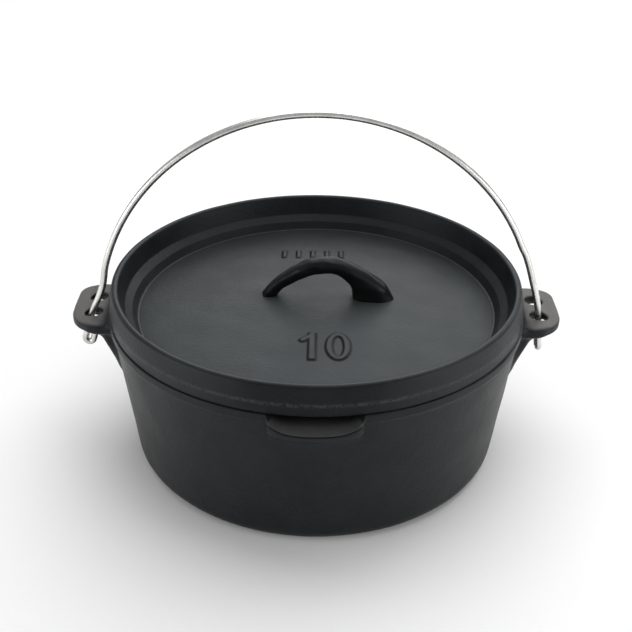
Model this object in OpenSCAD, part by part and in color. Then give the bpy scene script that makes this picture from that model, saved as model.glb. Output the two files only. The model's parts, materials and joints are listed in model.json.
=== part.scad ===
// Cast iron dutch oven: pot with two ears and a pour spout, loose lid with a coal rim and
// a loop handle, and a wire bail hooked through the ears.
// Millimetres. +Z is up, +X runs from ear to ear, the spout faces -Y.
// The origin is the centre of the flat bottom of the pot.

/* [Pot] */
// Height of the pot, floor to rim
pot_h = 105.6; // [95:0.2:115]
// Outer radius of the rim band
rim_r = 141; // [140.5:0.1:141.5]
// Inner radius of the mouth
mouth_r = 129; // [128.9:0.1:130]
// Wall thickness
wall_t = 5; // [5:0.5:7]
// Outer radius that the slanted wall would have at floor level
foot_r = 126.94; // [124:0.02:128]
// Radius of the rounded bottom edge
corner_r = 10; // [6:1:14]
// Height of the rim band
band_h = 5.8; // [4:0.2:7]

/* [Pour spout] */
// How far the spout reaches from the middle of the pot
spout_reach = 149.5; // [147:0.5:152]
// Half of the width of the spout where it leaves the wall
spout_half_w = 28; // [24:1:32]
// Depth of the spout channel below the rim, at the mouth
spout_dip = 3.6; // [2:0.2:5]
// Downward slope of the channel in degrees
spout_slope = 9.5; // [4:0.5:12]

/* [Ears] */
// Distance from the middle of the pot to the outer edge of an ear
ear_reach = 167; // [166:0.5:170]
// Width of an ear
ear_w = 59; // [52:1:62]
// Thickness of an ear
ear_t = 6; // [5:0.5:6]
// Radius of the outer corner of an ear at its rear
ear_rear_corner_r = 13; // [8:1:24]
// Radius of the outer corner of an ear at its front
ear_front_corner_r = 22; // [10:1:25]
// Distance of the bail holes from the middle of the pot, along X
hole_x = 152; // [151:0.1:154]
// Distance of the bail holes from the middle plane, along Y
hole_y = 10.8; // [10:0.1:12]
// Diameter of a bail hole
hole_d = 11.5; // [11.5:0.1:12.5]
// Width of the eased edge round a bail hole
hole_edge = 0.75; // [0.75:0.05:1]
// Width of the web under an ear
web_w = 50; // [40:1:52]

/* [Lid] */
// Radius of the lid
lid_r = 140; // [138:0.1:140]
// Height of the upright edge of the lid
lid_edge_h = 7.9; // [6:0.1:8.5]
// Radius of the crest of the coal rim
crest_r = 135.8; // [135:0.1:136]
// Height of the crest above the seat of the lid
crest_h = 19.4; // [16:0.2:20]
// Depth of the plug that centres the lid in the mouth
plug_h = 7.2; // [6:0.2:8]
// Radius of the plug
plug_r = 128.3; // [127:0.1:128.4]
// Height of the middle of the lid above its seat
dome_h = 1.7; // [1:0.1:3]
// Height of the raised numerals and marks
relief_h = 0.9; // [0.4:0.1:1.2]

/* [Lid handle] */
// Half thickness of the handle at its top
grip_r = 5.3; // [5:0.1:6.5]
// Height of the centreline of the handle above the seat of the lid
grip_h = 25.2; // [23:0.2:29]
// Half length of the wide foot
wide_foot_r = 15.7; // [12:0.1:17]
// Half length of the narrow foot
narrow_foot_r = 4.8; // [4:0.1:7]

/* [Bail] */
// Diameter of the wire
wire_d = 4.5; // [4:0.1:4.6]
// Radius of the arch, to the middle of the wire
arch_r = 146.5; // [146.5:0.5:148]
// How far the centre of the arch lies below the hinge line
arch_drop = 1.5; // [0:0.5:1.5]
// Slant of the left shank above its ear, in degrees from upright
slant_left = 25; // [22:1:27]
// Slant of the left leg below its ear
leg_slant_left = 20; // [14:1:22]
// Slant of the right shank above its ear, in degrees from upright
slant_right = 18; // [18:1:27]
// Slant of the right leg below its ear
leg_slant_right = 4; // [2:1:10]
// Radius of the turn at the bottom of a hook
hook_r = 2.8; // [2.7:0.1:3.5]
// Depth of the left hook below the hinge line, to the middle of the wire
hook_drop_left = 19.8; // [19:0.1:21]
// Depth of the right hook below the hinge line, to the middle of the wire
hook_drop_right = 21.4; // [19:0.1:22]
// Turn of the left hook about its leg: 0 points the tip at the pot
hook_turn_left = 0; // [0:5:20]
// Turn of the right hook about its leg: 90 points the tip to the rear
hook_turn_right = 90; // [60:5:90]
// Straight length of wire past the left hook
tip_left = 5; // [3:0.5:7]
// Straight length of wire past the right hook
tip_right = 2.4; // [2.4:0.2:5]

/* [Hidden] */
$fn = 96;

eps = 0.01;
draft = 0.12438;             // outward lean of the pot wall, radius per height
iron = [0.22, 0.23, 0.24];   // seasoned cast iron
dark_iron = [0.13, 0.13, 0.14];
steel = [0.75, 0.75, 0.74];  // bright wire

band_z = pot_h - band_h;     // underside of the rim band, and top of the ears
ear_mid_z = band_z - ear_t / 2;
seat_z = pot_h;              // the lid rests on the rim

// Points of an arc of radius r about (cx, cy), from angle a0 to a1 in n steps.
function arc(cx, cy, r, a0, a1, n) =
    [for (i = [0:n]) let (a = a0 + (a1 - a0) * i / n) [cx + r * cos(a), cy + r * sin(a)]];

function reverse(list) = [for (i = [len(list) - 1:-1:0]) list[i]];

// ---- Pot ----

lean = atan(draft);
function wall_out(z) = foot_r + draft * z;
function wall_in(z) = wall_out(z) - wall_t;

// A rounded corner of radius r between a level floor at height z0 and the leaning line
// that has radius line0 at height 0.
function corner_arc(line0, z0, r) =
    arc(line0 + draft * (z0 + r) - r / cos(lean), z0 + r, r, -90, -lean, 10);

lip_depth = 6.6;             // straight stretch of the mouth below the rim
lip_taper = 15;              // stretch in which the thick rim thins to the wall
band_ease = 1.2;             // eased edges of the rim band
inner_corner_r = 9;

module pot_shell()
    rotate_extrude()
        polygon(concat(
            [[0, 0]],
            corner_arc(foot_r, 0, corner_r),
            [[wall_out(band_z - band_ease), band_z - band_ease],
             [rim_r - 0.4, band_z + 0.3],
             [rim_r, band_z + band_ease],
             [rim_r, pot_h - band_ease / 2],
             [rim_r - band_ease / 2, pot_h],
             [mouth_r + 0.8, pot_h],
             [mouth_r, pot_h - 0.8],
             [mouth_r, pot_h - lip_depth],
             [wall_in(pot_h - lip_depth - lip_taper), pot_h - lip_depth - lip_taper]],
            reverse(corner_arc(wall_in(0), wall_t, inner_corner_r)),
            [[0, wall_t]]));

// The spout is a half moon that grows out of the wall and thins towards its underside.
spout_wall_r = wall_out(band_z);
spout_chord_y = sqrt(spout_wall_r * spout_wall_r - spout_half_w * spout_half_w);
spout_sag = spout_reach - spout_chord_y;
spout_r = (spout_half_w * spout_half_w + spout_sag * spout_sag) / (2 * spout_sag);
spout_z = 86.5;              // where the spout leaves the wall
spout_under_r = spout_r - 10.5;

module spout()
    intersection() {
        translate([0, spout_r - spout_reach, 0]) {
            translate([0, 0, spout_z])
                cylinder(h = 8.5, r1 = spout_under_r, r2 = spout_r - 0.8);
            translate([0, 0, spout_z + 8.5])
                cylinder(h = pot_h - spout_z - 8.5, r1 = spout_r - 0.8, r2 = spout_r);
        }
        // only the part in front of the inner wall
        translate([-60, -200, 0])
            cube([120, 200 - mouth_r - 3, pot_h - 0.4]);
    }

channel_r = 62;              // round channel of the spout, its axis along Y
module spout_channel()
    translate([0, -mouth_r, pot_h - spout_dip + channel_r])
        rotate([90 + spout_slope, 0, 0])
            translate([0, 0, -12])
                cylinder(h = 50, r = channel_r, $fn = 180);

// An ear is a flat plate with rounded outer corners; it runs into the thick wall.
ear_root_x = 133;
module ear_root(length = 1)
    translate([ear_root_x, -ear_w / 2])
        square([length, ear_w]);

module ear_corner(side, r)
    translate([ear_reach - r, side * (ear_w / 2 - r)])
        circle(r = r);

module ear_plate()
    translate([0, 0, band_z - ear_t])
        linear_extrude(height = ear_t)
            intersection() {
                hull() {
                    ear_root();
                    ear_corner(1, ear_rear_corner_r);
                    ear_corner(-1, ear_front_corner_r);
                }
                ear_root(ear_reach - ear_root_x);
            }

// The web under an ear: steep face with a hollow round top, square to the wall.
web_top_x = 150;
web_fillet_r = 7;
web_foot_z = 63.5;
module ear_web()
    translate([0, web_w / 2, 0])
        rotate([90, 0, 0])
            linear_extrude(height = web_w)
                polygon(concat(
                    [[ear_root_x - 1.6, band_z - ear_t + eps],
                     [ear_root_x - 1.6, web_foot_z + 3],
                     [wall_out(web_foot_z) - 1.2, web_foot_z],
                     [137.4, 69.5],
                     [141.8, 79.3]],
                    arc(web_top_x, band_z - ear_t - web_fillet_r, web_fillet_r, 156, 90, 6),
                    [[web_top_x, band_z - ear_t + eps]]));

module ear()
    union() {
        ear_plate();
        ear_web();
    }

// A through hole with eased edges on both faces.
module ear_hole()
    union() {
        cylinder(h = ear_t + 2, d = hole_d, center = true);
        for (side = [0, 1])
            mirror([0, 0, side])
                translate([0, 0, ear_t / 2 - hole_edge])
                    cylinder(h = hole_edge + 1, d1 = hole_d, d2 = hole_d + 2 * hole_edge + 2);
    }

module pot()
    color(iron)
        difference() {
            union() {
                pot_shell();
                spout();
                ear();
                mirror([1, 0, 0]) ear();
            }
            spout_channel();
            for (sx = [-1, 1])
                for (sy = [-1, 1])
                    translate([sx * hole_x, sy * hole_y, ear_mid_z])
                        ear_hole();
        }

// ---- Lid ----

foot_ring_r = 120.8;         // lowest ring of the top face, at the foot of the rim
foot_ring_z = seat_z - 3.9;
dome_edge_r = 117;
dome_top_z = seat_z + dome_h;
dome_edge_z = foot_ring_z + 0.6;
dome_sag = dome_top_z - dome_edge_z;
dome_r = (dome_edge_r * dome_edge_r + dome_sag * dome_sag) / (2 * dome_sag);
dome_angle = asin(dome_edge_r / dome_r);

// Top face of the middle of the lid, from its edge to the axis, raised by up.
function dome_arc(up) = arc(0, dome_top_z + up - dome_r, dome_r, 90 - dome_angle, 90, 12);

crest_z = seat_z + crest_h;
lid_edge_z = seat_z + lid_edge_h;
under_r = 112;               // flat ring under the lid ends here
under_rise = 3.4;            // the underside follows the dome

module lid_body()
    rotate_extrude()
        polygon(concat(
            [[0, seat_z - plug_h + under_rise],
             [under_r / 2, seat_z - plug_h + under_rise * 0.75],
             [under_r, seat_z - plug_h],
             [plug_r - 2, seat_z - plug_h],
             [plug_r, seat_z - plug_h + 2],
             [plug_r, seat_z],
             [lid_r - 0.8, seat_z],
             [lid_r, seat_z + 0.8],
             [lid_r, lid_edge_z - 1],
             [lid_r - 0.4, lid_edge_z]],
            arc(crest_r, crest_z - 1.8, 1.8, 20, 160, 8),
            [[foot_ring_r + 9.5, seat_z + 6.3],
             [foot_ring_r + 8.3, seat_z + 4.9],
             [foot_ring_r + 4.6, seat_z + 1.6],
             [foot_ring_r + 3.4, seat_z + 0.2],
             [foot_ring_r + 1.6, foot_ring_z + 0.7],
             [foot_ring_r, foot_ring_z]],
            dome_arc(0)));

// Size numerals, drawn with one width of stroke.
stroke = 5.2;
numeral_h = 31;
numeral_y = -77.8;           // foot of the numerals

module numeral_one()
    polygon([[-stroke, 0], [0, 0], [0, numeral_h], [-4, numeral_h],
             [-11, numeral_h - 7], [-11, numeral_h - 12], [-stroke, numeral_h - 7.6]]);

zero_r = 8.1;
module zero_outline(r)
    union() {
        for (y = [zero_r, numeral_h - zero_r])
            translate([0, y]) circle(r = r);
        translate([-r, zero_r]) square([2 * r, numeral_h - 2 * zero_r]);
    }

module numeral_zero()
    difference() {
        zero_outline(zero_r);
        zero_outline(zero_r - stroke + 0.2);
    }

// Plain raised bars behind the handle.
bar_n = 5;
bar_w = 3.6;
bar_l = 13;
bar_pitch = 10.5;
bar_y = 63;

module marks()
    union() {
        translate([0, numeral_y]) numeral_one();
        translate([14.1, numeral_y]) numeral_zero();
        for (i = [0:bar_n - 1])
            translate([(i - (bar_n - 1) / 2) * bar_pitch - bar_w / 2 - 3, bar_y])
                square([bar_w, bar_l]);
    }

module relief()
    intersection() {
        translate([0, 0, foot_ring_z - 2])
            linear_extrude(height = 12) marks();
        rotate_extrude()
            polygon(concat(dome_arc(relief_h), reverse(dome_arc(-2))));
    }

module lid()
    color(iron)
        union() {
            lid_body();
            relief();
        }

// ---- Lid handle ----

// The handle is swept along an arch from the narrow foot at -X to the wide foot at +X.
narrow_x = -32.2;
wide_x = 38.4;
grip_y = 3;                  // the handle stands a little behind the middle
foot_sink = 1.6;             // the feet are cast into the lid
sweep_n = 36;
sweep_sides = 20;

foot_z = seat_z + dome_h - foot_sink;
function mix(a, b, t) = a + (b - a) * t;
// A step from 0 to 1 that starts and ends level.
function ease(t) = t * t * (3 - 2 * t);
// Centreline: half an ellipse whose widths differ on the two sides of the top.
top_x = 4;
function grip_point(a) =
    [top_x + (a > 90 ? (top_x - narrow_x) : (wide_x - top_x)) * cos(a), 0,
     foot_z + (seat_z + grip_h - foot_z) * sin(a)];
// Half thickness in the plane of the arch, and across it, at angle a of the ellipse.
function grip_thick(a) =
    a > 90 ? mix(grip_r, narrow_foot_r, ease((a - 90) / 90))
           : mix(grip_r, wide_foot_r, pow(1 - a / 90, 2.2));
function grip_wide(a) =
    a > 90 ? mix(6.2, 5.2, ease((a - 90) / 90))
           : mix(6.2, 9.5, pow(1 - a / 90, 1.8));
// The sections stand level at the feet and square to the arch at its top.
function grip_tilt(a) =
    a > 90 ? mix(90, 180, ease((a - 90) / 90)) : mix(90, 0, ease(1 - a / 90));

function grip_ring(a) =
    let (c = grip_point(a), t = grip_tilt(a), u = grip_thick(a), w = grip_wide(a))
    [for (k = [0:sweep_sides - 1])
        let (b = 360 * k / sweep_sides)
        [c[0] + u * cos(b) * cos(t), grip_y + w * sin(b), c[2] + u * cos(b) * sin(t)]];

module lid_handle()
    color(dark_iron)
        polyhedron(
            points = [for (i = [0:sweep_n]) each grip_ring(180 * i / sweep_n)],
            faces = concat(
                [[for (k = [0:sweep_sides - 1]) k]],
                [[for (k = [sweep_sides - 1:-1:0]) sweep_n * sweep_sides + k]],
                [for (i = [0:sweep_n - 1]) for (k = [0:sweep_sides - 1])
                    let (a = i * sweep_sides + k, b = i * sweep_sides + (k + 1) % sweep_sides)
                    each [[a, a + sweep_sides, b], [b, a + sweep_sides, b + sweep_sides]]]),
            convexity = 4);

// ---- Bail ----

wire_r = wire_d / 2;
bend_r = 9;                  // bend between the arch and the slanted shank
ear_bend_r = 12;             // soft bend of the wire inside the ear

// A straight run of wire up the Z axis.
module wire_run(length)
    cylinder(h = length, r = wire_r);

// A bend that starts up the Z axis and turns towards +X by angle, on radius r.
module wire_bend(r, angle)
    translate([r, 0, 0])
        rotate([90, 0, 0])
            rotate([0, 0, 180 - angle])
                rotate_extrude(angle = angle)
                    translate([r, 0]) circle(r = wire_r);

// A ball a hair fatter than the wire, which makes two lengths of wire one solid.
module wire_knot()
    sphere(r = wire_r + 0.02);

// Where a shank of a given slant meets the arch, as an angle of the arch.
function arch_end(slant) =
    slant - acos(cos(slant) * (hole_x + bend_r * cos(slant)
        + tan(slant) * (arch_drop + bend_r * sin(slant))) / (arch_r + bend_r));

// Length of a shank from the hinge line to its upper bend.
function shank_length(slant) =
    (arch_r * sin(arch_end(slant)) - arch_drop
        + bend_r * (sin(arch_end(slant)) - sin(slant))) / cos(slant);

// One side of the bail, below the arch, as it stands at the +X ear; the origin is the
// middle of the hole.
module bail_side(slant, leg_slant, turn, drop, tip) {
    ease_l = ear_bend_r * tan((slant - leg_slant) / 2);
    leg_l = (drop - hook_r * (1 + (turn < 45 ? sin(leg_slant) : 0))) / cos(leg_slant);
    union() {
        rotate([0, -slant, 0]) {
            translate([0, 0, ease_l]) wire_run(shank_length(slant) - ease_l);
            translate([0, 0, shank_length(slant)]) wire_bend(bend_r, slant - arch_end(slant));
            translate([0, 0, ease_l]) wire_knot();
            translate([0, 0, shank_length(slant)]) wire_knot();
        }
        rotate([0, -leg_slant, 0])
            translate([0, 0, -ease_l])
                mirror([1, 0, 0]) wire_bend(ear_bend_r, slant - leg_slant);
        rotate([0, 180 - leg_slant, 0]) {
            translate([0, 0, ease_l]) wire_run(leg_l - ease_l);
            translate([0, 0, ease_l]) wire_knot();
            translate([0, 0, leg_l])
                rotate([0, 0, turn]) {
                    wire_knot();
                    wire_bend(hook_r, 180);
                    translate([2 * hook_r, 0, 0]) wire_knot();
                    translate([2 * hook_r, 0, -tip]) wire_run(tip);
                }
        }
    }
}

module bail()
    color(steel)
        translate([0, -hole_y, ear_mid_z])
            union() {
                translate([0, 0, -arch_drop]) {
                    rotate([90, 0, 0])
                        rotate([0, 0, arch_end(slant_right)])
                            rotate_extrude(angle = 180 - arch_end(slant_right) - arch_end(slant_left))
                                translate([arch_r, 0]) circle(r = wire_r);
                    for (a = [arch_end(slant_right), 180 - arch_end(slant_left)])
                        translate([arch_r * cos(a), 0, arch_r * sin(a)])
                            rotate([0, -a, 0]) wire_knot();
                }
                translate([hole_x, 0, 0])
                    bail_side(slant_right, leg_slant_right, hook_turn_right, hook_drop_right,
                        tip_right);
                mirror([1, 0, 0])
                    translate([hole_x, 0, 0])
                        bail_side(slant_left, leg_slant_left, hook_turn_left, hook_drop_left,
                            tip_left);
            }

pot();
lid();
lid_handle();
bail();
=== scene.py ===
"""Looks of the cast iron dutch oven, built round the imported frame."""
import itertools
import json
import math

import bpy
import numpy as np
from mathutils import Matrix, Vector


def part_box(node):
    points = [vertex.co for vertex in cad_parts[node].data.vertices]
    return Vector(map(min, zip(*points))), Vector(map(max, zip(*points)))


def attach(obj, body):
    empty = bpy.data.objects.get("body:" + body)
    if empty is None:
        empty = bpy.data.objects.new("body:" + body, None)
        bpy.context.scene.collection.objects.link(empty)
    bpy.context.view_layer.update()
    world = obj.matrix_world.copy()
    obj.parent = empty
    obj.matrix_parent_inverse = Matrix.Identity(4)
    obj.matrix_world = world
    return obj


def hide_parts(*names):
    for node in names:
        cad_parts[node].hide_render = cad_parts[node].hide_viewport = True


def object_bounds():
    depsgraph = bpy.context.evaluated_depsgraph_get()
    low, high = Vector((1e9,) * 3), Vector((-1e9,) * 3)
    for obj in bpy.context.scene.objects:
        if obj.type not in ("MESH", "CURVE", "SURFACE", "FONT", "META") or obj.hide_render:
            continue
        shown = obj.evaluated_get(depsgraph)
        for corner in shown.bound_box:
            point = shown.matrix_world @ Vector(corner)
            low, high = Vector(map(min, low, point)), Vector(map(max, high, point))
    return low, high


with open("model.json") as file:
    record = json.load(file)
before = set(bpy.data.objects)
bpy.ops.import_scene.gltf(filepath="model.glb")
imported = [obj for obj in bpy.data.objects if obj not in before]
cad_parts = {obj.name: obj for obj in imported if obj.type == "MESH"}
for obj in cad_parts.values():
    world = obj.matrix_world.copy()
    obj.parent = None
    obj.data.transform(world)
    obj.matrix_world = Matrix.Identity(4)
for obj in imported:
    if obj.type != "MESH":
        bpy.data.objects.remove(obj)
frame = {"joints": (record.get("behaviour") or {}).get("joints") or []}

CAD_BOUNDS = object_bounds()
MM = 0.001

# ---------------------------------------------------------------- sizes, in millimetres


def cad_box(node):
    """Lowest and highest corner of a CAD node, in millimetres."""
    lo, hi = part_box(node)
    return np.array(lo) / MM, np.array(hi) / MM


POT_LO, POT_HI = cad_box("pot")
LID_HI = cad_box("lid")[1]
HINGE = next(j for j in frame["joints"] if j["name"] == "bail_swing")["pos_m"]

# Pot
POT_H = float(POT_HI[2])             # floor to rim
RIM_R = float(POT_HI[1])             # outer radius of the rim band
MOUTH_R = 129.0
WALL_T = 5.0
DRAFT = 0.12438                      # outward lean of the wall
LEAN = math.atan(DRAFT)
FOOT_R = 126.94                      # wall radius carried down to floor level
BAND_H = 5.8                         # height of the rim band
BAND_Z = POT_H - BAND_H
# Ears
EAR_REACH = float(POT_HI[0])
EAR_W = 59.0
EAR_T = 6.0
EAR_REAR_CORNER = 12.0
EAR_FRONT_CORNER = 21.0
HOLE_X = 152.0
HOLE_Y = abs(HINGE[1]) / MM
HOLE_R = 6.0
HOLE_DRAFT = 0.45                    # the holes widen towards the underside
HINGE_Z = HINGE[2] / MM
# Spout
SPOUT_REACH = -float(POT_LO[1])
# Lid
SEAT = POT_H
LID_R = float(LID_HI[0])
LID_EDGE_H = 7.6                     # height of the band round the edge of the lid
PLUG_R = 128.3
PLUG_H = 7.2
CREST_Z = float(LID_HI[2])
CREST_R = 135.8
FOOT_RING_R = 120.8                  # lowest ring of the top face
FOOT_RING_Z = SEAT - 3.9
DOME_R = 117.0                       # edge of the domed middle
DOME_EDGE_Z = FOOT_RING_Z + 0.6
DOME_TOP_Z = SEAT + 1.7
RELIEF = 0.9
# Bail
WIRE_R = 2.25
ARCH_R = 146.5
ARCH_DROP = 1.5


# ---------------------------------------------------------------- mesh helpers

BOX_GAP = 0.02                       # the visual model stays this far inside the CAD's box


def mesh_object(name, verts_mm, faces):
    """A smooth mesh object from vertices in millimetres and faces."""
    box_lo, box_hi = np.array(CAD_BOUNDS) / MM
    verts_mm = np.clip(verts_mm, box_lo + BOX_GAP, box_hi - BOX_GAP)
    mesh = bpy.data.meshes.new(name)
    mesh.from_pydata((verts_mm * MM).tolist(), [], [tuple(map(int, f)) for f in faces])
    mesh.validate()
    mesh.update()
    mesh.polygons.foreach_set("use_smooth", [True] * len(mesh.polygons))
    obj = bpy.data.objects.new(name, mesh)
    bpy.context.scene.collection.objects.link(obj)
    return obj


def smoothstep(x, lo, hi):
    """0 below lo, 1 above hi, and a smooth rise between."""
    t = np.clip((x - lo) / (hi - lo), 0.0, 1.0)
    return t * t * (3.0 - 2.0 * t)


def rounded_path(corners, steps=8):
    """A path through (r, z, fillet radius) corners, with each corner rounded to its radius."""
    out = []
    pts = [np.array(c[:2], float) for c in corners]
    for i, c in enumerate(corners):
        p, radius = pts[i], c[2] if len(c) > 2 else 0.0
        if radius <= 0 or i in (0, len(corners) - 1):
            out.append(p)
            continue
        a = pts[i - 1] - p
        b = pts[i + 1] - p
        la, lb = np.linalg.norm(a), np.linalg.norm(b)
        a, b = a / la, b / lb
        half = math.acos(np.clip(a @ b, -1, 1)) / 2
        cut = min(radius / math.tan(half), 0.49 * la, 0.49 * lb)
        radius = cut * math.tan(half)
        centre = p + (a + b) / np.linalg.norm(a + b) * radius / math.sin(half)
        start, end = p + a * cut - centre, p + b * cut - centre
        a0 = math.atan2(start[1], start[0])
        turn = math.atan2(start[0] * end[1] - start[1] * end[0], start @ end)
        for k in range(steps + 1):
            t = a0 + turn * k / steps
            out.append(centre + radius * np.array([math.cos(t), math.sin(t)]))
    return np.array(out)


FRONT = -math.pi / 2                 # the direction of -Y


def turn_angles(segments, crowd=0.0):
    """Angles once round the axis, closer together near the front where crowd is over 0."""
    t = 2 * math.pi * np.arange(segments) / segments
    return t - crowd * np.sin(t) + FRONT


def even_path(path, longest):
    """The same path with extra points, so that no stretch is longer than longest."""
    out = [path[0]]
    for a, b in zip(path, path[1:]):
        n = max(1, int(math.ceil(np.linalg.norm(b - a) / longest)))
        out += [a + (b - a) * k / n for k in range(1, n + 1)]
    return np.array(out)


def lathe(path, angle):
    """Vertices and faces of a closed body turned about Z; the path starts and ends on the axis."""
    ring, segments = path[1:-1], len(angle)
    c, s = np.cos(angle), np.sin(angle)
    body = np.stack([np.outer(ring[:, 0], c), np.outer(ring[:, 0], s),
                     np.repeat(ring[:, 1:2], segments, 1)], -1).reshape(-1, 3)
    first, last = [0, 0, path[0][1]], [0, 0, path[-1][1]]
    verts = np.vstack([body, [first], [last]])
    faces = []
    for i in range(len(ring) - 1):
        a, b = i * segments, (i + 1) * segments
        faces += [(a + k, a + (k + 1) % segments, b + (k + 1) % segments, b + k)
                  for k in range(segments)]
    n0, n1 = len(body), len(body) + 1
    end = (len(ring) - 1) * segments
    faces += [(n0, (k + 1) % segments, k) for k in range(segments)]
    faces += [(n1, end + k, end + (k + 1) % segments) for k in range(segments)]
    return verts, faces


def wobble(verts, wavelength, amount, seed):
    """Shifts points by a smooth random field, as a sand mould's walls shift."""
    rng = np.random.default_rng(seed)
    shift = np.zeros_like(verts)
    waves = 14
    for _ in range(waves):
        direction = rng.normal(size=3)
        direction /= np.linalg.norm(direction)
        turn = 2 * math.pi / (wavelength * rng.uniform(0.7, 1.5))
        phase = rng.uniform(0, 2 * math.pi)
        way = rng.normal(size=3)
        shift += np.sin(verts @ direction * turn + phase)[:, None] * way / np.linalg.norm(way)
    return verts + shift * amount * math.sqrt(2 / waves)


def set_mark(obj, name, values):
    """Stores one number for each vertex, which a material can read by name."""
    marks = obj.data.attributes
    mark = marks.get(name) or marks.new(name, "FLOAT", "POINT")
    mark.data.foreach_set("value", np.asarray(values, np.float32))


def get_mark(obj, name):
    """The numbers stored by set_mark."""
    values = np.empty(len(obj.data.vertices), np.float32)
    obj.data.attributes[name].data.foreach_get("value", values)
    return values


SHORTEST_GAP = 0.05                  # between the middles of two faces, for their curvature


def mark_edges(obj, rubbed=(0.6, 1.4), sooty=(0.12, 0.6), rounds=2):
    """Stores how rounded the mesh is: "wear" on outer edges and "soot" in corners.
    The limits are curvatures in 1/mm."""
    mesh = obj.data
    n_loops, n_polys = len(mesh.loops), len(mesh.polygons)
    edge_of, total = np.empty(n_loops, np.int32), np.empty(n_polys, np.int32)
    normal, centre = np.empty(n_polys * 3), np.empty(n_polys * 3)
    mesh.loops.foreach_get("edge_index", edge_of)
    mesh.polygons.foreach_get("loop_total", total)
    mesh.polygons.foreach_get("normal", normal)
    mesh.polygons.foreach_get("center", centre)
    normal, centre = normal.reshape(-1, 3), centre.reshape(-1, 3) / MM
    poly_of = np.repeat(np.arange(n_polys), total)
    order = np.argsort(edge_of, kind="stable")
    e, f = edge_of[order], poly_of[order]
    pair = np.flatnonzero(e[1:] == e[:-1])
    f1, f2, edge = f[pair], f[pair + 1], e[pair]
    gap = centre[f2] - centre[f1]
    angle = np.arccos(np.clip((normal[f1] * normal[f2]).sum(-1), -1, 1))
    distance = np.maximum(np.linalg.norm(gap, axis=1), SHORTEST_GAP)
    bend = -np.sign((normal[f1] * gap).sum(-1)) * angle / distance
    ends = np.empty(len(mesh.edges) * 2, np.int32)
    mesh.edges.foreach_get("vertices", ends)
    ends = ends.reshape(-1, 2)
    n = len(mesh.vertices)
    out, into = np.zeros(n), np.zeros(n)
    for side in (0, 1):
        np.maximum.at(out, ends[edge, side], bend)
        np.maximum.at(into, ends[edge, side], -bend)
    degree = np.maximum(np.bincount(ends.ravel(), minlength=n), 1)
    for _ in range(rounds):
        for field in (out, into):
            near = np.bincount(ends[:, 0], field[ends[:, 1]], n)
            near += np.bincount(ends[:, 1], field[ends[:, 0]], n)
            field[:] = 0.5 * field + 0.5 * near / degree
    set_mark(obj, "wear", smoothstep(out, *rubbed))
    set_mark(obj, "soot_and_shade", smoothstep(into, *sooty))


def facing_up(obj, steep=0.6, level=0.97):
    """1 where the surface is level and looks up, 0 on steep walls."""
    normal = np.empty(len(obj.data.vertices) * 3, np.float32)
    obj.data.vertices.foreach_get("normal", normal)
    return smoothstep(normal[2::3], steep, level)


# The twelve edges of a grid cell: the corner where an edge starts and the axis it runs along.
CUBE_EDGES = [(corner, axis) for axis in range(3)
              for corner in itertools.product((0, 1), repeat=3) if corner[axis] == 0]


def settle(sdf, pts, rounds=4, h=0.02):
    """Moves points onto the zero surface of a distance field."""
    for _ in range(rounds):
        d = sdf(pts)
        g = np.stack([(sdf(pts + h * e) - sdf(pts - h * e)) / (2 * h) for e in np.eye(3)], -1)
        pts = pts - np.clip(d, -1, 1)[:, None] * g / np.maximum((g * g).sum(-1), 0.05)[:, None]
    return pts


def surface_net(sdf, lo, hi, step):
    """A quad mesh of the zero surface of a distance field, inside a box."""
    axes = [np.arange(l, h + step, step) for l, h in zip(lo, hi)]
    grid = np.stack(np.meshgrid(*axes, indexing="ij"), -1)
    v = sdf(grid.reshape(-1, 3)).reshape(grid.shape[:3])
    n = np.array(v.shape)
    cell_n = n - 1
    total = np.zeros(tuple(cell_n) + (3,))
    count = np.zeros(tuple(cell_n))
    for corner, axis in CUBE_EDGES:
        other = list(corner)
        other[axis] += 1
        sa = tuple(slice(c, c + m) for c, m in zip(corner, cell_n))
        sb = tuple(slice(c, c + m) for c, m in zip(other, cell_n))
        va, vb = v[sa], v[sb]
        cross = (va < 0) != (vb < 0)
        t = np.where(cross, va / np.where(cross, va - vb, 1.0), 0.0)
        p = grid[sa] + (grid[sb] - grid[sa]) * t[..., None]
        total += np.where(cross[..., None], p, 0.0)
        count += cross
    used = count > 0
    index = -np.ones(tuple(cell_n), int)
    index[used] = np.arange(used.sum())
    verts = total[used] / count[used][:, None]
    faces = []
    for axis in range(3):
        lo_s = [slice(1, m - 1) for m in n]
        lo_s[axis] = slice(0, n[axis] - 1)
        hi_s = list(lo_s)
        hi_s[axis] = slice(1, n[axis])
        a, b = v[tuple(lo_s)] < 0, v[tuple(hi_s)] < 0
        where = np.argwhere(a != b)
        base = where + np.array([s.start for s in lo_s])
        u, w = (axis + 1) % 3, (axis + 2) % 3
        cells = []
        for du, dw in ((-1, -1), (0, -1), (0, 0), (-1, 0)):
            c = base.copy()
            c[:, u] += du
            c[:, w] += dw
            cells.append(index[c[:, 0], c[:, 1], c[:, 2]])
        quad = np.stack(cells, -1)
        outward = a[tuple(where.T)]
        quad[~outward] = quad[~outward][:, ::-1]
        faces.append(quad)
    return settle(sdf, verts), np.vstack(faces)


# Distance fields, in millimetres. A smooth union has a fillet about as wide as k.


def smooth_min(a, b, k):
    h = np.maximum(k - np.abs(a - b), 0.0) / k
    return np.minimum(a, b) - h * h * k / 4


def smooth_max(a, b, k):
    return -smooth_min(-a, -b, k)


def rounded_prism(flat, height, r):
    """A flat outline given half a thickness, with its edges rounded to r."""
    a, b = flat + r, height + r
    return np.minimum(np.maximum(a, b), 0.0) + np.hypot(np.maximum(a, 0), np.maximum(b, 0)) - r


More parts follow.
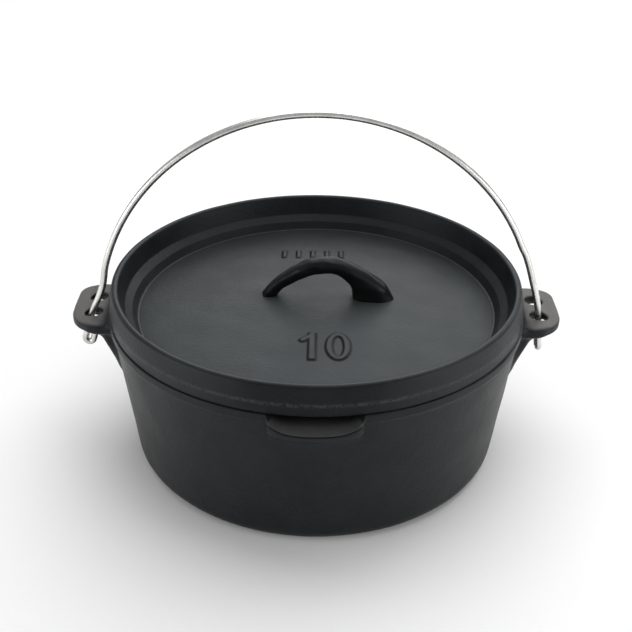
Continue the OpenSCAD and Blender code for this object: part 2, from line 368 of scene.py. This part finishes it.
def rounded_rect(x, y, half_x, half_y, r):
    a, b = np.abs(x) - half_x + r, np.abs(y) - half_y + r
    return np.minimum(np.maximum(a, b), 0.0) + np.hypot(np.maximum(a, 0), np.maximum(b, 0)) - r


# ---------------------------------------------------------------- pot


def wall_r(z):
    """Outer radius of the pot's wall at a height."""
    return FOOT_R + DRAFT * z


def pot_profile():
    """Half section of the pot, from the middle of the underside round to the middle of the
    floor. Each corner is a radius, a height and, unless it is sharp, the radius of its fillet."""
    under_band = BAND_Z - 2.2
    lip_foot = POT_H - 6.6           # the straight part of the mouth ends here
    taper_foot = lip_foot - 15.0     # below this the wall has its even thickness
    outside = [(0, 0), (wall_r(0), 0, 10), (wall_r(under_band), under_band, 3.0)]
    rim = [(RIM_R, BAND_Z + 0.8, 1.6), (RIM_R, POT_H, 1.0), (MOUTH_R, POT_H, 1.2)]
    inside = [(MOUTH_R, lip_foot, 6), (wall_r(taper_foot) - WALL_T, taper_foot, 12),
              (wall_r(WALL_T) - WALL_T, WALL_T, 9), (0, WALL_T)]
    return outside + rim + inside


# The spout is a half moon that grows out of the wall, with a shallow channel across it.
SPOUT_HALF_W = 28.5
SPOUT_FRONT_GAP = 0.7                # kept free in front for the fillet
SPOUT_FOOT_Z = 86.5
SPOUT_FULL_Z = 95.5                  # above this the half moon has its full reach
SPOUT_UNDERCUT = 13.5                # how much further back the half moon is at its foot
SPOUT_SQUARE = 2.2                   # 2 is an ellipse; more is squarer
SPOUT_FILLET = 3.5
SPOUT_ZONE_X = 45.0                  # the spout changes nothing further than this from the middle
SPOUT_ZONE_TURN = 0.5                # and nothing past this angle from the front, in radians
CHANNEL_DIP = 3.6
CHANNEL_HALF_W = 28.0
CHANNEL_SIDE = 4.5                   # rise of the channel's sides at its half width
CHANNEL_POWER = 6                    # how suddenly the sides rise
CHANNEL_FILLET = 1.2
CHANNEL_SLOPE = math.radians(9.5)
LIP_SLOPE = math.radians(14.0)       # past the edge of the lid the channel falls faster
LIP_START = 137.0
LIP_SPREAD = 0.06                    # keeps the rings of the rim band apart on the lip


def spout_radius(turn, z):
    """Distance from the axis of the pot to the half moon, at an angle from the front."""
    root_r = wall_r(BAND_Z)
    root_y = math.sqrt(root_r ** 2 - SPOUT_HALF_W ** 2)
    across = np.minimum(np.abs(np.sin(turn)) * root_r / SPOUT_HALF_W, 1)
    bulge = (1 - across ** SPOUT_SQUARE) ** (1 / SPOUT_SQUARE)
    shrink = SPOUT_UNDERCUT * (1 - smoothstep(z, SPOUT_FOOT_Z - 4, SPOUT_FULL_Z))
    reach = root_y + (SPOUT_REACH - SPOUT_FRONT_GAP - root_y) * bulge - shrink
    return np.where((across < 1) & (np.cos(turn) > 0), reach / np.cos(turn), 0.0)


def channel_z(x, y):
    """Height of the channel's floor."""
    fall = np.tan(CHANNEL_SLOPE) * (np.clip(-y, 0, LIP_START) - MOUTH_R)
    fall = fall + np.tan(LIP_SLOPE) * np.maximum(-y - LIP_START, 0)
    side = CHANNEL_SIDE * (x / CHANNEL_HALF_W) ** CHANNEL_POWER
    return POT_H - CHANNEL_DIP - fall + side


def shape_spout(v):
    """Draws the front of the rim out into the half moon and sinks the channel into it."""
    x, y, z = v.T
    r = np.hypot(x, y)
    turn = np.arctan2(x, -y)
    outer = np.where(z > BAND_Z, RIM_R, wall_r(z))
    reach = smooth_max(outer, spout_radius(turn, z), SPOUT_FILLET) - outer
    reach = np.where(np.abs(turn) < SPOUT_ZONE_TURN, reach, 0.0)
    # The outside of the rim moves by the whole reach and the mouth stays round.
    on_top = z > POT_H - 0.02
    skin = smoothstep(r, MOUTH_R, np.where(on_top, RIM_R - 1.0, RIM_R - 3.0))
    scale = 1 + reach * skin / np.maximum(r, 1)
    x, y = x * scale, y * scale
    rim = (z > SPOUT_FOOT_Z) & (r > MOUTH_R - 6) & (y < 0) & (np.abs(x) < SPOUT_ZONE_X)
    low = -smooth_max(-z, -channel_z(x, y) - LIP_SPREAD * (z - POT_H), CHANNEL_FILLET)
    floor_gap = np.where(rim, np.minimum(low - z, 0), 0)
    return np.stack([x, y, z + floor_gap], -1)


def make_pot():
    """The pot's casting with its rim band and spout, without the ears."""
    path = even_path(rounded_path(pot_profile()), longest=2.2)
    verts, faces = lathe(path, turn_angles(720, crowd=0.72))
    verts = shape_spout(verts)
    x, y, z = verts.T
    in_channel = (np.abs(x) < SPOUT_ZONE_X) & (np.abs(z - channel_z(x, y)) < 0.5)
    in_channel &= z < POT_H - 2.5
    verts = wobble(verts, wavelength=34.0, amount=0.10, seed=11)
    pot = mesh_object("pot_casting", verts, faces)
    # Painted light on the spout's channel floor past the edge of the lid, where the lid's shadow
    # ends.
    set_mark(pot, "painted_light", in_channel * smoothstep(-y, 134, 141) * 0.3)
    mark_edges(pot)
    set_mark(pot, "wear", get_mark(pot, "wear") * smoothstep(y, -110, -40) * 0.6)
    return pot


EAR_ROOT_X = EAR_REACH - 120         # the plate starts well inside the wall
EAR_ROUNDING = 1.3
EAR_NARROWING = 0.045                # how fast the outer edge slants in towards the front
HOLE_ROUNDING = 1.6
WEB_HALF_W = 25.0
WEB_FOOT_Z = 62.5
WEB_TOP_X = 148.4
WEB_SLOPE = 0.449                    # lean of the web's outer face, x over z
WEB_FILLET = 8.0                     # between the web and the ear
ROOT_FILLET = 5.0                    # between the ear and the pot's wall
ROOT_REACH = 6.5                     # how far the fillet goes along the wall
ROOT_DEPTH = 3.2                     # how deep the ear's mesh goes into the wall


def ear_field(p):
    """One ear at +X with its web, holes and the blend into the wall."""
    x, y, z = p.T
    r = np.hypot(x, y)
    corner = np.where(y > 0, EAR_REAR_CORNER, EAR_FRONT_CORNER)
    half_l = (EAR_REACH - EAR_ROOT_X) / 2
    from_middle = x - EAR_REACH + half_l + EAR_NARROWING * np.maximum(-y, 0)
    outline = rounded_rect(from_middle, y, half_l, EAR_W / 2, corner)
    plate = rounded_prism(outline, np.abs(z - HINGE_Z) - EAR_T / 2, EAR_ROUNDING)
    under = BAND_Z - EAR_T
    # The web's outer face runs from the underside of the ear down to the wall.
    web_out = (x - WEB_TOP_X - (z - under) * WEB_SLOPE) * math.cos(math.atan(WEB_SLOPE))
    web_side = np.abs(y) - WEB_HALF_W
    web = smooth_max(smooth_max(web_out, web_side, 5), z - (BAND_Z - 2), 1)
    web = smooth_max(web, WEB_FOOT_Z - z, 4)
    body = smooth_min(plate, web, WEB_FILLET)
    bore = HOLE_R + HOLE_DRAFT * np.maximum(HINGE_Z - z, 0)
    hole = np.hypot(x - HOLE_X, np.abs(y) - HOLE_Y) - bore
    body = smooth_max(body, -hole, HOLE_ROUNDING)
    # The pot's own outside, a hair lower, so that the ear's skin ends inside it.
    wall = (r - wall_r(z)) * math.cos(LEAN)
    band = np.maximum(r - RIM_R, BAND_Z + 0.2 - z)
    iron = np.minimum(wall, np.maximum(band, z - POT_H + 0.5)) + 0.06
    iron = np.maximum(iron, z - POT_H + 1.0)
    joined = smooth_min(body, iron, ROOT_FILLET)
    joined = np.maximum(joined, body - ROOT_REACH)
    return np.maximum(joined, wall_r(z) - ROOT_DEPTH - r)


def make_ear(side):
    """The right ear for side 1 and its mirror image for side -1."""
    verts, faces = surface_net(ear_field, lo=(126, -40, 52), hi=(172, 40, 108), step=0.8)
    if side < 0:
        verts = verts * np.array([-1, 1, 1])
        faces = faces[:, ::-1]
    ear = mesh_object("ear_right" if side > 0 else "ear_left", verts, faces)
    mark_edges(ear, rounds=4)
    # Painted light: the ears' faces that look up, away from the wall, are paler than their sides.
    off_the_wall = smoothstep(np.abs(verts[:, 0]), 140, 148)
    set_mark(ear, "painted_light", off_the_wall * facing_up(ear, 0.3, 0.95))
    return ear


# ---------------------------------------------------------------- lid

DOME_SAG = DOME_TOP_Z - DOME_EDGE_Z
DOME_BALL = (DOME_R ** 2 + DOME_SAG ** 2) / (2 * DOME_SAG)    # radius of its sphere
EDGE_RING = 1.8


def dome_z(r):
    """Height of the domed middle."""
    return DOME_TOP_Z - DOME_BALL + np.sqrt(DOME_BALL ** 2 - r ** 2)


def lid_profile():
    """Half section of the lid, from the middle of the underside round to the edge of the dome.
    Each corner is a radius, a height and, unless it is sharp, the radius of its fillet."""
    plug_z, edge_z = SEAT - PLUG_H, SEAT + LID_EDGE_H
    under = [(0, SEAT - 3.8), (56, SEAT - 4.7, 40), (112, plug_z, 20)]
    plug = [(PLUG_R, plug_z, 2.5), (PLUG_R, SEAT, 0.6)]
    # Two more rings beside the edge keep its rubbed line narrow.
    edge = [(LID_R, SEAT, 0.9), (LID_R, edge_z - EDGE_RING), (LID_R, edge_z, 0.9),
            (LID_R - 0.3, edge_z + EDGE_RING)]
    crest = [(CREST_R + 2.1, CREST_Z, 2.3), (CREST_R - 1.9, CREST_Z, 2.3)]
    ledge = [(130.3, SEAT + 6.2, 2.5), (125.2, SEAT + 1.6, 1.6)]
    gutter = [(122.4, SEAT - 3.4, 1.5), (FOOT_RING_R, FOOT_RING_Z, 1.5)]
    return under + plug + edge + crest + ledge + gutter + [(DOME_R, DOME_EDGE_Z)]


# Numerals of the size, 1 and 0, raised on the dome in front of the handle
NUMERAL_H = 31.0
NUMERAL_Y = -77.8                    # foot of the numerals
STROKE = 5.2
FLAG_TOP = (-3.0, NUMERAL_H - 3.2)
FLAG_TIP = (-8.8, NUMERAL_H - 8.6)
FLAG_HALF_W = 2.3
ZERO_X = 14.1
ZERO_HALF_W = 8.2
# Plain bars behind the handle
BAR_N = 5
BAR_W = 3.6
BAR_L = 13.0
BAR_PITCH = 10.5
BAR_X = -3.0                         # middle of the row
BAR_Y = 63.0                         # foot of the row


def segment_distance(x, y, a, b):
    """Distance from points to the straight line between a and b."""
    ax, ay = a
    dx, dy = b[0] - ax, b[1] - ay
    t = np.clip(((x - ax) * dx + (y - ay) * dy) / (dx * dx + dy * dy), 0, 1)
    return np.hypot(x - ax - t * dx, y - ay - t * dy)


def ellipse_distance(x, y, half_x, half_y):
    """Distance from points to an upright ellipse, good close to its line."""
    k1 = np.hypot(x / half_x, y / half_y)
    k2 = np.hypot(x / half_x ** 2, y / half_y ** 2)
    return k1 * (k1 - 1) / np.maximum(k2, 1e-6)


def marks_field(x, y):
    """Flat distance field of the numerals and of the plain bars behind the handle."""
    v = y - NUMERAL_Y
    one = rounded_rect(x + STROKE / 2, v - NUMERAL_H / 2, STROKE / 2, NUMERAL_H / 2, 0.6)
    flag = segment_distance(x, v, FLAG_TOP, FLAG_TIP) - FLAG_HALF_W
    one = np.minimum(one, flag)
    half_h = NUMERAL_H / 2
    eye_half_w, eye_half_h = ZERO_HALF_W - STROKE + 0.3, half_h - STROKE + 0.6
    zero = ellipse_distance(x - ZERO_X, v - half_h, ZERO_HALF_W, half_h)
    eye = ellipse_distance(x - ZERO_X, v - half_h, eye_half_w, eye_half_h)
    out = np.minimum(one, np.maximum(zero, -eye))
    for i in range(BAR_N):
        cx = BAR_X + (i - (BAR_N - 1) / 2) * BAR_PITCH
        bar = rounded_rect(x - cx, y - BAR_Y - BAR_L / 2, BAR_W / 2, BAR_L / 2, 0.8)
        out = np.minimum(out, bar)
    return out


MARKS_OUTER_R = 86.0                 # between these radii lie the raised marks, where the
MARKS_INNER_R = 40.0                 # rings of the mesh are close together
EDGE_WEAR = 0.34
# Painted light on the lid: how much it fades towards the rear, and how pale the outer wall gets at
# the sides.
PAINTED_REAR_SHADE = 0.65
PAINTED_SIDE_SHEEN = 0.3


def make_lid():
    """The lid's casting with its raised marks, without the handle."""
    path = rounded_path(lid_profile())
    rings = np.concatenate([np.arange(DOME_R, MARKS_OUTER_R, -4.0),
                            np.arange(MARKS_OUTER_R, MARKS_INNER_R, -0.6),
                            np.arange(MARKS_INNER_R, 3, -4.0)])
    dome = np.stack([rings, dome_z(rings)], -1)[1:]
    path = np.vstack([even_path(path, longest=5.0), dome, [[0, dome_z(0)]]])
    verts, faces = lathe(path, turn_angles(800))
    x, y, z = verts.T
    on_dome = np.abs(z - dome_z(np.minimum(np.hypot(x, y), DOME_R))) < 0.01
    field = marks_field(x, y)
    lift = RELIEF * (1 - smoothstep(field, -0.75, 0.35))
    verts[:, 2] += np.where(on_dome, lift, 0)
    verts = wobble(verts, wavelength=30.0, amount=0.08, seed=5)
    lid = mesh_object("lid_casting", verts, faces)
    mark_edges(lid)
    # Painted shade along the sloping sides of the raised marks, kept with the oil in the corners.
    outline_shade = np.where(on_dome, 1 - smoothstep(np.abs(field + 0.1), 0.6, 1.3), 0)
    set_mark(lid, "soot_and_shade", np.maximum(get_mark(lid, "soot_and_shade") * ~on_dome, outline_shade))
    at_edge = EDGE_WEAR * (1 - smoothstep(np.abs(z - SEAT - LID_EDGE_H), 0.3, 1.0))
    set_mark(lid, "wear", np.where(np.hypot(x, y) > CREST_R, at_edge, 0))
    # Painted light: the faces that look up are paler in front and fade towards the rear, and the
    # outer wall is paler at the sides.
    flat = facing_up(lid) * (1 - PAINTED_REAR_SHADE * smoothstep(y, -60, 110))
    outside = (np.hypot(x, y) > CREST_R) & (z > SEAT + 0.5)
    sides = PAINTED_SIDE_SHEEN * smoothstep(np.abs(x), 25, 90) * smoothstep(-y, -20, 30)
    set_mark(lid, "painted_light", np.where(outside, sides, flat))
    return lid


# ---------------------------------------------------------------- lid handle

# Stations along the handle, from the narrow foot to the wide one: place of the middle in
# x, y and height over the seat, then half thickness and half width. They come from outline
# points measured on the photo through the fitted camera, worked over and rounded.
GRIP_STATIONS = [(-34.0, 5.0, -0.4, 4.7, 4.3), (-27.0, 4.8, 8.6, 4.2, 4.6),
                 (-18.4, 4.3, 15.5, 4.7, 5.3), (-6.6, 3.6, 22.5, 5.2, 6.0),
                 (5.0, 3.2, 25.2, 5.3, 6.3), (16.5, 3.0, 23.6, 5.6, 6.6),
                 (26.2, 3.0, 17.2, 7.0, 7.2), (33.6, 3.0, 8.9, 10.6, 8.2),
                 (38.4, 3.0, -0.4, 15.6, 9.0)]
GRIP_SQUARE = 2.35                   # 2 is an ellipse; more is flatter on its sides


def spline(points, t):
    """Smooth curve through evenly timed points, at time t from 0 to 1."""
    pts = np.vstack([2 * points[0] - points[1], points, 2 * points[-1] - points[-2]])
    u = np.clip(t, 0, 1) * (len(points) - 1)
    i = np.minimum(u.astype(int), len(points) - 2)
    u = (u - i)[:, None]
    p0, p1, p2, p3 = (pts[i + k] for k in range(4))
    return 0.5 * (2 * p1 + (p2 - p0) * u + (2 * p0 - 5 * p1 + 4 * p2 - p3) * u ** 2
                  + (3 * p1 - p0 - 3 * p2 + p3) * u ** 3)


def make_handle():
    """The loop handle, whose two feet end inside the lid."""
    rings, sides = 150, 72
    t = np.linspace(0, 1, rings + 1)
    x, y, z, half, wide = spline(np.array(GRIP_STATIONS), t).T
    tilt = np.unwrap(np.arctan2(np.gradient(z), np.gradient(x)) + math.pi / 2)
    # The last sections turn level, so that the wide foot meets the lid flat.
    tilt = tilt * smoothstep(1 - t, 0, 0.08)
    b = 2 * math.pi * np.arange(sides) / sides
    squared = 2 / GRIP_SQUARE
    cu = np.sign(np.cos(b)) * np.abs(np.cos(b)) ** squared
    cw = np.sign(np.sin(b)) * np.abs(np.sin(b)) ** squared
    u = half[:, None] * cu
    verts = np.stack([x[:, None] + u * np.cos(tilt)[:, None], y[:, None] + wide[:, None] * cw,
                      SEAT + z[:, None] + u * np.sin(tilt)[:, None]], -1).reshape(-1, 3)
    verts = wobble(verts, wavelength=9.0, amount=0.28, seed=3)
    faces = [tuple(range(sides))]
    for i in range(rings):
        a, c = i * sides, (i + 1) * sides
        faces += [(a + (k + 1) % sides, a + k, c + k, c + (k + 1) % sides) for k in range(sides)]
    faces.append(tuple(rings * sides + k for k in range(sides - 1, -1, -1)))
    return mesh_object("lid_handle_casting", verts, faces)


# ---------------------------------------------------------------- bail

# Middle line of each shank, bent by hand and so not alike: distance from the middle plane and
# height over the hinge line, from the arch down to the leg of the hook. The points were
# measured on the photo through the fitted camera. Some stand as measured, and the rest were
# adjusted or added.
SHANKS = {"right": [(138.2, 49.5), (141.6, 40.6), (144.5, 31.3), (147.5, 21.9), (150.0, 12.2),
                    (151.7, 1.5), (152.8, -8.0)],
          "left": [(143.4, 26.2), (146.8, 16.4), (151.0, 7.6), (154.2, 0.0), (156.6, -7.5)]}
ARCH_ENDS = (23.0, 164.5)            # where the even arch stops, in degrees
HOOK_R = 2.8
HOOKS = {"right": (22.2, 90, 1.5), "left": (19.8, 0, 6.5)}    # depth, turn, length of the tip
TIP_ROUNDING = 0.35                  # length of the rounded ends of the wire
TIP_FACE = 0.8                       # size of the end faces against the wire


def hook_path(start, down, depth, turn, tip):
    """The leg of a hook from a point on, then its turn and its tip."""
    inward = np.array([down[2], 0, -down[0]])
    across = inward * math.cos(turn) + np.array([0, 1, 0]) * math.sin(turn)
    leg = (start[2] + depth - HOOK_R * (1 - across[2])) / -down[2]
    pts = [start + down * leg * k / 4 for k in range(1, 5)]
    foot = pts[-1]
    for k in range(1, 17):
        a = math.pi * k / 16
        pts.append(foot + HOOK_R * ((1 - math.cos(a)) * across + math.sin(a) * down))
    for k in range(1, 4):
        pts.append(foot + 2 * HOOK_R * across - down * tip * k / 3)
    return np.array(pts)


def bail_path():
    """Middle line of the bail from the tip at +X over the arch to the tip at -X."""
    flip = {"right": np.array([1, 1, 1]), "left": np.array([-1, 1, 1])}
    shanks, hooks = {}, {}
    for name, points in SHANKS.items():
        shank = np.array([(x, 0, z) for x, z in points])
        down = shank[-1] - shank[-2]
        depth, turn, tip = HOOKS[name]
        hook = hook_path(shank[-1], down / np.linalg.norm(down), depth, math.radians(turn), tip)
        shanks[name], hooks[name] = shank * flip[name], hook * flip[name]
    a = np.radians(np.linspace(*ARCH_ENDS, 37))
    arch = np.stack([ARCH_R * np.cos(a), 0 * a, ARCH_R * np.sin(a) - ARCH_DROP], -1)
    line = np.vstack([shanks["right"][::-1], arch, shanks["left"]])
    line = spline(line, np.linspace(0, 1, 6 * len(line)))
    path = np.vstack([hooks["right"][::-1], line, hooks["left"]])
    return path + np.array([0, -HOLE_Y, HINGE_Z])


def sweep(path, radius, sides):
    """A round tube along a path, with slightly rounded ends."""
    tangent = np.gradient(path, axis=0)
    tangent /= np.linalg.norm(tangent, axis=1)[:, None]
    normal = np.array([0.0, 1.0, 0.0])
    verts, frames = [], []
    for t in tangent:
        normal = normal - t * (normal @ t)
        normal /= np.linalg.norm(normal)
        frames.append((normal.copy(), np.cross(t, normal)))
    rings = [(path[0], frames[0], TIP_FACE), (path[0] + tangent[0] * TIP_ROUNDING, frames[0], 1.0)]
    rings += [(p, f, 1.0) for p, f in zip(path[1:-1], frames[1:-1])]
    rings.append((path[-1] - tangent[-1] * TIP_ROUNDING, frames[-1], 1.0))
    rings.append((path[-1], frames[-1], TIP_FACE))
    for p, (u, w), s in rings:
        for k in range(sides):
            b = 2 * math.pi * k / sides
            verts.append(p + radius * s * (math.cos(b) * u + math.sin(b) * w))
    faces = [tuple(range(sides - 1, -1, -1))]
    for i in range(len(rings) - 1):
        a, b = i * sides, (i + 1) * sides
        faces += [(a + k, a + (k + 1) % sides, b + (k + 1) % sides, b + k) for k in range(sides)]
    faces.append(tuple((len(rings) - 1) * sides + k for k in range(sides)))
    return np.array(verts), faces


def make_bail():
    """The bright wire bail with its two hooks."""
    verts, faces = sweep(bail_path(), WIRE_R, sides=28)
    return mesh_object("bail_wire", verts, faces)


# ---------------------------------------------------------------- materials

RUBBED = (0.085, 0.088, 0.09)        # bare iron showing through on rubbed edges
PAINTED_LIGHT_TONE = (0.105, 0.100, 0.096)         # painted light on the ears' top faces and the spout's channel floor
# Oil gathered in corners, and on the lid painted shade round the raised marks.
SOOT_AND_SHADE = (0.003, 0.003, 0.003)
COOL = (0.88, 0.97, 1.0)             # the blue cast of light off seasoned iron


class Nodes:
    """Short calls for building a shader."""

    def __init__(self, name):
        self.material = bpy.data.materials.new(name)
        self.material.use_nodes = True
        self.tree = self.material.node_tree
        self.shader = self.tree.nodes["Principled BSDF"]
        self.coord = self.tree.nodes.new("ShaderNodeTexCoord")

    def add(self, kind, **values):
        node = self.tree.nodes.new("ShaderNode" + kind)
        for key, value in values.items():
            if hasattr(node, key):
                setattr(node, key, value)
            else:
                node.inputs[key.replace("_", " ")].default_value = value
        return node

    def link(self, a, b):
        self.tree.links.new(a, b)

    def noise(self, scale, detail, roughness):
        node = self.add("TexNoise", Scale=scale, Detail=detail, Roughness=roughness)
        self.link(self.coord.outputs["Object"], node.inputs["Vector"])
        return node.outputs["Fac"]

    def ramp(self, factor, stops):
        """Blends between two colours, each with its place on the scale of the factor."""
        node = self.add("ValToRGB")
        for element, (place, colour) in zip(node.color_ramp.elements, stops):
            element.position = place
            element.color = (*colour, 1.0)
        self.link(factor, node.inputs["Fac"])
        return node.outputs["Color"]

    def range(self, factor, lo, hi, to_lo, to_hi):
        node = self.add("MapRange")
        for key, value in zip(("From Min", "From Max", "To Min", "To Max"), (lo, hi, to_lo, to_hi)):
            node.inputs[key].default_value = value
        self.link(factor, node.inputs["Value"])
        return node.outputs["Result"]

    def math(self, op, a, b):
        node = self.add("Math", operation=op)
        for socket, value in zip(node.inputs, (a, b)):
            if isinstance(value, (int, float)):
                socket.default_value = value
            else:
                self.link(value, socket)
        return node.outputs["Value"]

    def shade(self, colour, attribute, other, breakup):
        """Mixes another colour in where the mesh's attribute says, broken up by a noise."""
        mark = self.add("Attribute", attribute_name=attribute).outputs["Fac"]
        if breakup is not None:
            mark = self.math("MULTIPLY", mark, self.range(breakup, 0.35, 0.6, 0.0, 1.0))
        mix = self.add("Mix", data_type="RGBA")
        first, second = [socket for socket in mix.inputs if socket.type == "RGBA"]
        self.link(mark, mix.inputs["Factor"])
        self.link(colour, first)
        second.default_value = (*other, 1.0)
        return next(socket for socket in mix.outputs if socket.type == "RGBA")

    def bump(self, height, distance, strength, normal=None):
        node = self.add("Bump", Distance=distance, Strength=strength)
        self.link(height, node.inputs["Height"])
        if normal is not None:
            self.link(normal, node.inputs["Normal"])
        return node.outputs["Normal"]


def cast_iron(name, dark, light, rough, sheen, grain=1.0, lit_tone=PAINTED_LIGHT_TONE):
    """Sand-cast iron under a thin seasoned skin: fine grain, faint mottling, uneven sheen,
    darker where oil gathers in corners and where shade is painted, paler on rubbed edges and where
    light is painted."""
    n = Nodes(name)
    mottle = n.noise(38, 5, 0.55)
    grain_fine = n.noise(1500, 3, 0.6)
    grain_mid = n.noise(420, 4, 0.6)
    swell = n.noise(60, 2, 0.5)
    mix = n.math("ADD", n.math("MULTIPLY", mottle, 0.7), n.math("MULTIPLY", grain_mid, 0.3))
    skin = n.ramp(mix, [(0.35, dark), (0.65, light)])
    worn = n.shade(skin, "wear", RUBBED, grain_mid)
    # Painted light, where the mesh's mark asks for it.
    worn = n.shade(worn, "painted_light", lit_tone, None)
    dark_corners = n.shade(worn, "soot_and_shade", SOOT_AND_SHADE, None)
    n.link(dark_corners, n.shader.inputs["Base Color"])
    n.link(n.range(mottle, 0.3, 0.7, rough - 0.05, rough + 0.06), n.shader.inputs["Roughness"])
    normal = n.bump(swell, 0.0012, 0.25)
    normal = n.bump(grain_mid, 0.00035 * grain, 0.6, normal)
    normal = n.bump(grain_fine, 0.00012 * grain, 0.6, normal)
    n.link(normal, n.shader.inputs["Normal"])
    n.shader.inputs["Metallic"].default_value = 0.0
    n.shader.inputs["Specular IOR Level"].default_value = sheen
    n.shader.inputs["Specular Tint"].default_value = (*COOL, 1.0)
    return n.material


def bright_wire(name):
    """Drawn steel wire with faint lengthwise streaks and small scuffs."""
    n = Nodes(name)
    streak = n.noise(900, 3, 0.5)
    blotch = n.noise(90, 3, 0.5)
    n.link(n.ramp(blotch, [(0.3, (0.55, 0.55, 0.53)), (0.7, (0.72, 0.72, 0.70))]),
           n.shader.inputs["Base Color"])
    n.link(n.range(streak, 0.3, 0.7, 0.22, 0.36), n.shader.inputs["Roughness"])
    n.link(n.bump(streak, 0.0001, 0.3), n.shader.inputs["Normal"])
    n.shader.inputs["Metallic"].default_value = 1.0
    return n.material


# ---------------------------------------------------------------- stage


# The viewing angle of the reference: 30 degrees down, from the front
CAMERA_ELEVATION = math.radians(29.83)
CAMERA_ROLL = math.radians(0.57)
CAMERA_DISTANCE = 0.727
CAMERA_TARGET = Vector((-0.0002, 0.0, 0.0925))
FIELD_OF_VIEW = math.radians(33.6498)


def make_camera():
    """The camera in front of the oven."""
    data = bpy.data.cameras.new("camera")
    data.sensor_width = 36.0
    data.angle = FIELD_OF_VIEW
    cam = bpy.data.objects.new("camera", data)
    forward = Vector((0, math.cos(CAMERA_ELEVATION), -math.sin(CAMERA_ELEVATION)))
    turn = forward.to_track_quat("-Z", "Y").to_matrix() @ Matrix.Rotation(CAMERA_ROLL, 3, "Z")
    position = CAMERA_TARGET - forward * CAMERA_DISTANCE
    cam.matrix_world = Matrix.Translation(position) @ turn.to_4x4()
    bpy.context.scene.collection.objects.link(cam)
    bpy.context.scene.camera = cam


LIGHT_TARGET = Vector((0, 0, 0.1))


def area_light(name, place, size, power):
    """A soft white light that faces the oven."""
    data = bpy.data.lights.new(name, "AREA")
    data.shape = "RECTANGLE"
    data.size, data.size_y = size
    data.energy = power
    obj = bpy.data.objects.new(name, data)
    aim = LIGHT_TARGET - Vector(place)
    obj.matrix_world = Matrix.Translation(place) @ aim.to_track_quat("-Z", "Y").to_matrix().to_4x4()
    bpy.context.scene.collection.objects.link(obj)


FLOOR_HALF = 6.0
FLOOR_GAP = 0.0002                   # the floor lies this far below the pot


def make_stage():
    """An even pale world, a pale paper floor and four softboxes."""
    world = bpy.data.worlds.new("world")
    bpy.context.scene.world = world
    world.use_nodes = True
    back = world.node_tree.nodes["Background"]
    back.inputs["Color"].default_value = (1, 1, 1, 1)
    back.inputs["Strength"].default_value = 0.45
    corners = [(x * FLOOR_HALF, y * FLOOR_HALF, 0) for x, y in ((-1, -1), (1, -1), (1, 1), (-1, 1))]
    mesh = bpy.data.meshes.new("floor")
    mesh.from_pydata(corners, [], [(0, 1, 2, 3)])
    floor = bpy.data.objects.new("floor", mesh)
    floor.location.z = POT_LO[2] * MM - FLOOR_GAP
    bpy.context.scene.collection.objects.link(floor)
    n = Nodes("floor_paper")
    fibre = n.noise(900, 3, 0.5)
    n.link(n.ramp(fibre, [(0.3, (0.90, 0.90, 0.90)), (0.7, (0.93, 0.93, 0.93))]),
           n.shader.inputs["Base Color"])
    n.shader.inputs["Roughness"].default_value = 0.9
    n.shader.inputs["Specular IOR Level"].default_value = 0.1
    floor.data.materials.append(n.material)
    area_light("top_softbox", (0.2, 0.5, 1.9), (2.2, 1.6), 24)
    area_light("rear_softbox", (0.8, 2.3, 1.5), (3.2, 1.6), 30)
    area_light("left_softbox", (-1.4, -0.7, 0.34), (1.2, 0.6), 8)
    area_light("right_softbox", (1.4, -0.7, 0.34), (1.2, 0.6), 9)


# ---------------------------------------------------------------- assembly


def place(obj, material, body, slot):
    """Gives a piece its material and ties it to its body."""
    if "wear" not in obj.data.attributes:
        mark_edges(obj)
    obj.data.materials.clear()
    obj.data.materials.append(material)
    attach(obj, body)


def main():
    """Builds the stage, the materials and the pieces that stand for the CAD nodes."""
    make_camera()
    make_stage()
    bpy.context.scene.view_settings.view_transform = "Standard"
    iron = cast_iron("seasoned_iron", (0.006, 0.0065, 0.0072), (0.012, 0.0127, 0.0137),
                     rough=0.42, sheen=0.18)
    # Painted shade: the lid's iron is darker than the pot's, so that its walls stay dark; its top
    # faces get painted light.
    lid_iron = cast_iron("lid_iron", (0.004, 0.0045, 0.005), (0.009, 0.010, 0.011),
                         rough=0.44, sheen=0.17, lit_tone=(0.038, 0.043, 0.045))
    handle_iron = cast_iron("handle_iron", (0.003, 0.003, 0.0032), (0.006, 0.006, 0.0063),
                            rough=0.36, sheen=0.18, grain=0.5)
    wire = bright_wire("bail_steel")

    pot = make_pot()
    place(pot, iron, "pot", "pot_iron")
    for side in (-1, 1):
        place(make_ear(side), iron, "pot", "pot_iron")
    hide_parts("pot")
    lid = make_lid()
    place(lid, lid_iron, "lid", "lid_iron")
    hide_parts("lid")
    handle = make_handle()
    place(handle, handle_iron, "lid", "handle_iron")
    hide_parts("lid_handle")
    bail = make_bail()
    place(bail, wire, "bail", "bail_wire")
    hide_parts("bail")


main()
